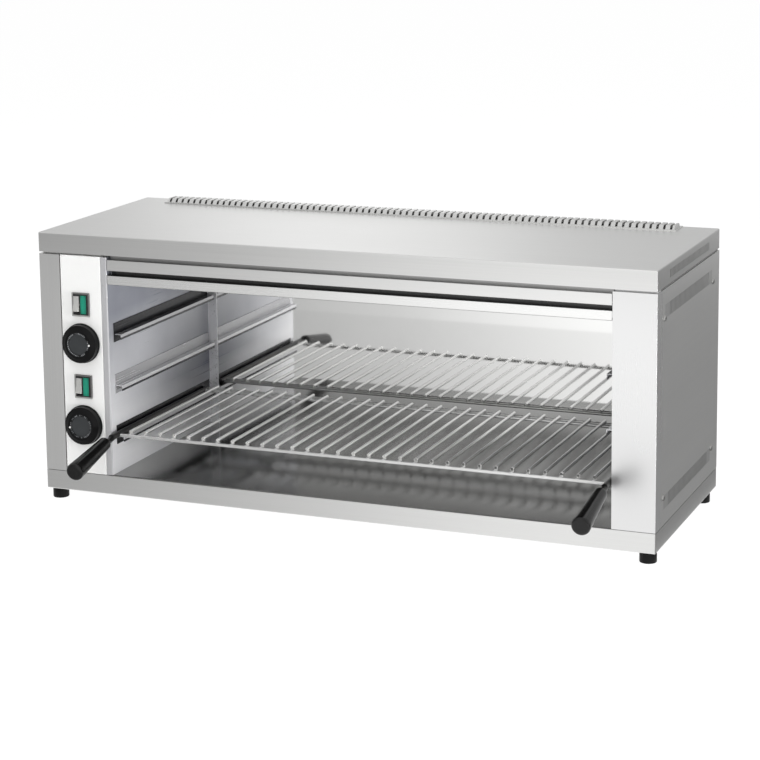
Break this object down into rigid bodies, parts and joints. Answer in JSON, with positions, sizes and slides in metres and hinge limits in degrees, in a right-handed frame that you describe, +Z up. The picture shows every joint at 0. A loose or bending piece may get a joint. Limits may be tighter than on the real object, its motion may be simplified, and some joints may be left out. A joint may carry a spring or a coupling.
{
  "type": "cheese melter",
  "caption": "Wide open-fronted electric grill in a steel casing, with a pull-out wire rack on side runners, overhead heating tubes and a control panel on the left.",
  "frame": {"origin": "middle of the whole object's box, on the table under the feet", "axes": "+X to the right as seen from the front, +Y from the open front to the back, +Z up"},
  "size_m": [0.8244, 0.4315, 0.36],
  "materials": {
    "casing_steel": "brushed stainless sheet, horizontal grain",
    "front_steel": "brushed stainless sheet, bright",
    "screw_steel": "plain turned steel",
    "foot_rubber": "matt black rubber",
    "floor_steel": "satin stainless sheet",
    "liner_steel": "satin stainless sheet",
    "mirror_steel": "mirror-polished stainless sheet",
    "mineral_wool": "pressed mineral wool",
    "element_steel": "oxidised heating tube",
    "bushing_brass": "plain brass",
    "control_plastic": "moulded black plastic",
    "knob_plastic": "moulded black phenolic",
    "knob_disc_plastic": "dark grey inlay",
    "pointer_white": "white inlay",
    "rocker_grey": "light grey plastic",
    "lens_green": "translucent green plastic",
    "block_ceramic": "cream terminal block",
    "wire_sleeve": "woven high-temperature sleeving",
    "rack_chrome": "bright chrome-plated wire",
    "rod_dark_steel": "dark oxidised steel rod",
    "grip_plastic": "moulded black phenolic"
  },
  "bodies": {
    "casing": {"base_tray": "casing_steel", "top_cover": "casing_steel", "rear_vent_strip": "casing_steel", "left_corner_post": "casing_steel", "control_panel": "front_steel", "right_front_panel": "front_steel", "front_upper_rail": "casing_steel", "front_lower_rail": "front_steel", "left_side_panel": "casing_steel", "right_side_panel": "casing_steel", "back_panel": "casing_steel", "side_screws": "screw_steel", "back_screws": "screw_steel", "foot_front_left": "foot_rubber", "foot_front_right": "foot_rubber", "foot_rear_left": "foot_rubber", "foot_rear_right": "foot_rubber", "foot_screws": "screw_steel", "cavity_floor": "floor_steel", "cavity_left_wall": "liner_steel", "cavity_right_wall": "liner_steel", "cavity_mirror_back": "mirror_steel", "cavity_ceiling": "liner_steel", "ceiling_insulation": "mineral_wool", "runner_left_lower": "liner_steel", "runner_left_middle": "liner_steel", "runner_left_upper": "liner_steel", "runner_right_lower": "liner_steel", "runner_right_middle": "liner_steel", "runner_right_upper": "liner_steel", "front_heating_element": "element_steel", "rear_heating_element": "element_steel", "element_bushings": "bushing_brass", "element_hangers": "liner_steel", "upper_regulator": "control_plastic", "lower_regulator": "control_plastic", "upper_switch": "control_plastic", "lower_switch": "control_plastic", "upper_lamp_lens": "lens_green", "lower_lamp_lens": "lens_green", "terminal_block": "block_ceramic", "wiring": "wire_sleeve", "cable_gland": "control_plastic", "earth_stud": "screw_steel"},
    "rack": {"wire_rack": "rack_chrome", "left_handle_rod": "rod_dark_steel", "right_handle_rod": "rod_dark_steel", "left_grip": "grip_plastic", "right_grip": "grip_plastic"},
    "upper_control": {"upper_knob": "knob_plastic", "upper_knob_disc": "knob_disc_plastic", "upper_knob_pointer": "pointer_white", "upper_shaft": "screw_steel"},
    "lower_control": {"lower_knob": "knob_plastic", "lower_knob_disc": "knob_disc_plastic", "lower_knob_pointer": "pointer_white", "lower_shaft": "screw_steel"},
    "upper_switch_rocker": {"upper_rocker": "rocker_grey"},
    "lower_switch_rocker": {"lower_rocker": "rocker_grey"}
  },
  "joints": [
    {"name": "rack_slide", "type": "slide", "parent": "casing", "child": "rack", "axis": [0, -1, 0], "range_m": [0, 0.2]},
    {"name": "upper_knob_turn", "type": "hinge", "parent": "casing", "child": "upper_control", "pos_m": [-0.3499, -0.10425, 0.2125], "axis": [0, 1, 0], "range_deg": [-90, 210]},
    {"name": "lower_knob_turn", "type": "hinge", "parent": "casing", "child": "lower_control", "pos_m": [-0.3499, -0.10425, 0.1045], "axis": [0, 1, 0], "range_deg": [-262, 38]},
    {"name": "upper_rocker_tilt", "type": "hinge", "parent": "casing", "child": "upper_switch_rocker", "pos_m": [-0.356, -0.10125, 0.263], "axis": [1, 0, 0], "range_deg": [0, 18]},
    {"name": "lower_rocker_tilt", "type": "hinge", "parent": "casing", "child": "lower_switch_rocker", "pos_m": [-0.356, -0.10125, 0.155], "axis": [1, 0, 0], "range_deg": [0, 18]}
  ]
}
